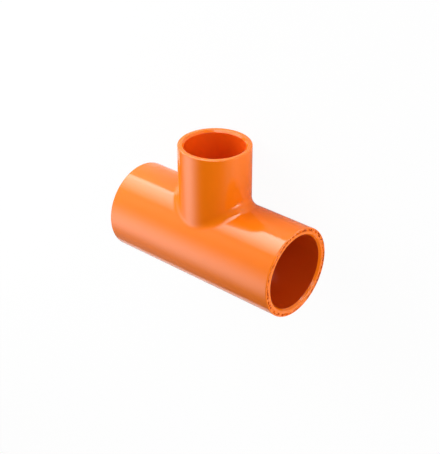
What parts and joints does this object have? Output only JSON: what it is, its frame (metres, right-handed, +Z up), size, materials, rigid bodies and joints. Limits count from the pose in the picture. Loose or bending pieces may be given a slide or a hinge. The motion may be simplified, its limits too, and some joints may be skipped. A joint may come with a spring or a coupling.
{
  "type": "pipe tee",
  "caption": "Moulded reducing tee for CPVC pipe: a straight run with a tapered socket at each end, and a smaller socket on a branch that blends out of its middle.",
  "frame": {"origin": "on the ground under the middle of the tee's outline, as it lies on its side", "axes": "+X along the run's axis; the branch points to -Y and drops a few degrees, until its rim meets the ground; +Z up"},
  "size_m": [0.0922, 0.0678, 0.0408],
  "materials": {
    "orange_cpvc": "glossy moulded orange CPVC"
  },
  "bodies": {
    "root": {"tee_body": "orange_cpvc"}
  },
  "joints": []
}
